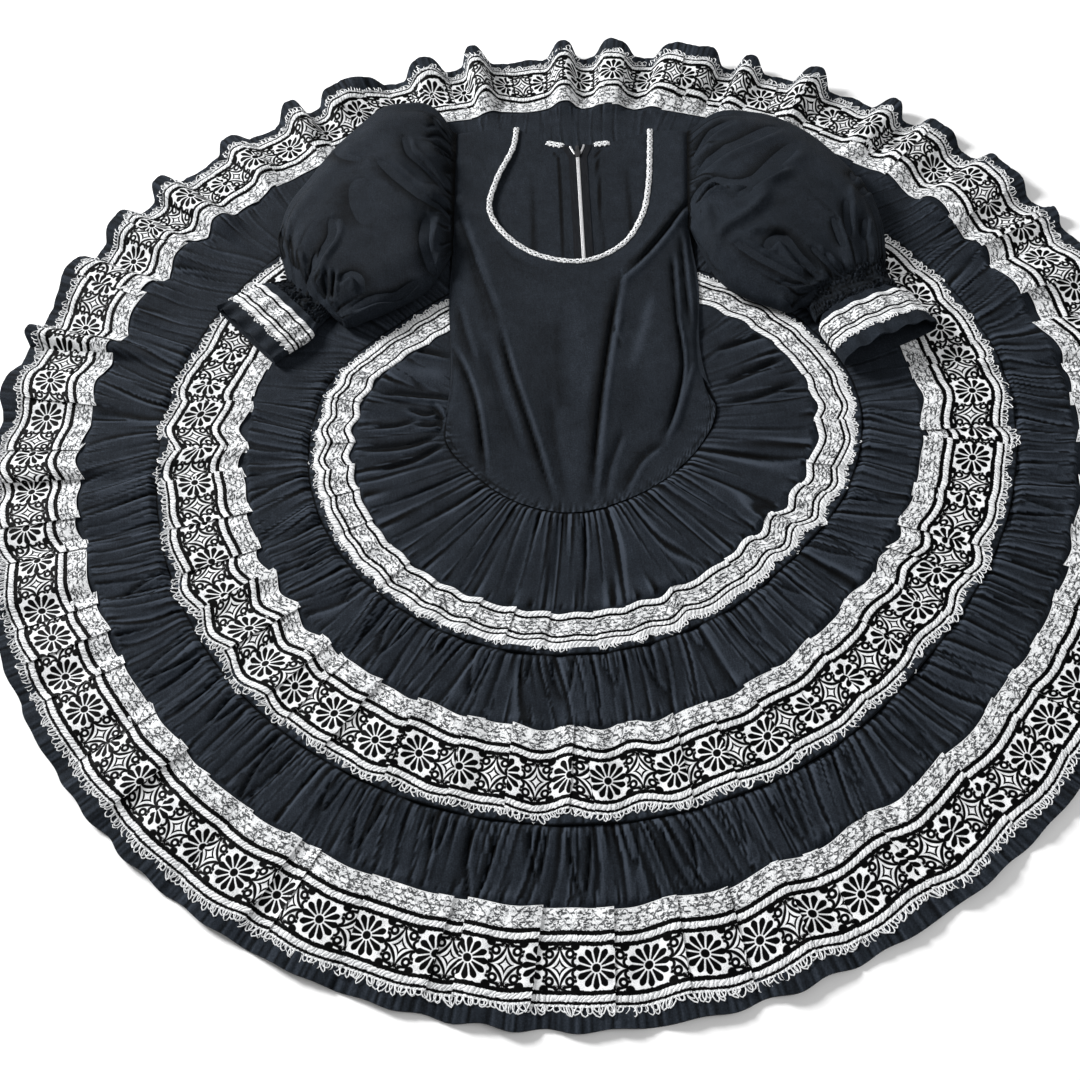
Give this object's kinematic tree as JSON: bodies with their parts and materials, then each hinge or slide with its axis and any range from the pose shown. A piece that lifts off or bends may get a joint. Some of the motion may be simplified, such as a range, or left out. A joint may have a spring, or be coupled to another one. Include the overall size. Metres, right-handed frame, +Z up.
{
  "type": "folk dance dress laid flat",
  "caption": "Black cotton dance dress laid face up: scoop bodice and puffed sleeves over a gathered tiered skirt spread in a ring, with silver-white woven braid.",
  "frame": {"origin": "on the floor, under the middle of the dress as it lies", "axes": "+Z up from the floor, +Y from the waist to the neck, +X to the right of someone who looks down at the front of the dress"},
  "size_m": [1.3476, 1.3384, 0.0531],
  "materials": {
    "black_cotton": "matt cotton poplin with a faint sheen",
    "silver_braid": "woven braid, silver-white with black",
    "zip_tape": "woven tape",
    "zip_metal": "bright teeth",
    "zip_enamel": "black enamel"
  },
  "bodies": {
    "root": {"tier1_front": "black_cotton", "tier1_back": "black_cotton", "tier1_braid": "silver_braid", "tier2_front": "black_cotton", "tier2_back": "black_cotton", "tier2_braid": "silver_braid", "tier3_front": "black_cotton", "tier3_back": "black_cotton", "tier3_braid": "silver_braid", "bodice_front": "black_cotton", "bodice_back_left": "black_cotton", "bodice_back_right": "black_cotton", "sleeve_left": "black_cotton", "cuff_left": "black_cotton", "cuff_left_braid": "silver_braid", "sleeve_right": "black_cotton", "cuff_right": "black_cotton", "cuff_right_braid": "silver_braid", "neck_braid_front": "silver_braid", "neck_braid_back_left": "silver_braid", "neck_braid_back_right": "silver_braid", "zip_tape_left": "zip_tape", "zip_tape_right": "zip_tape", "zip_chain": "zip_metal", "zip_slider": "zip_enamel"}
  },
  "joints": []
}
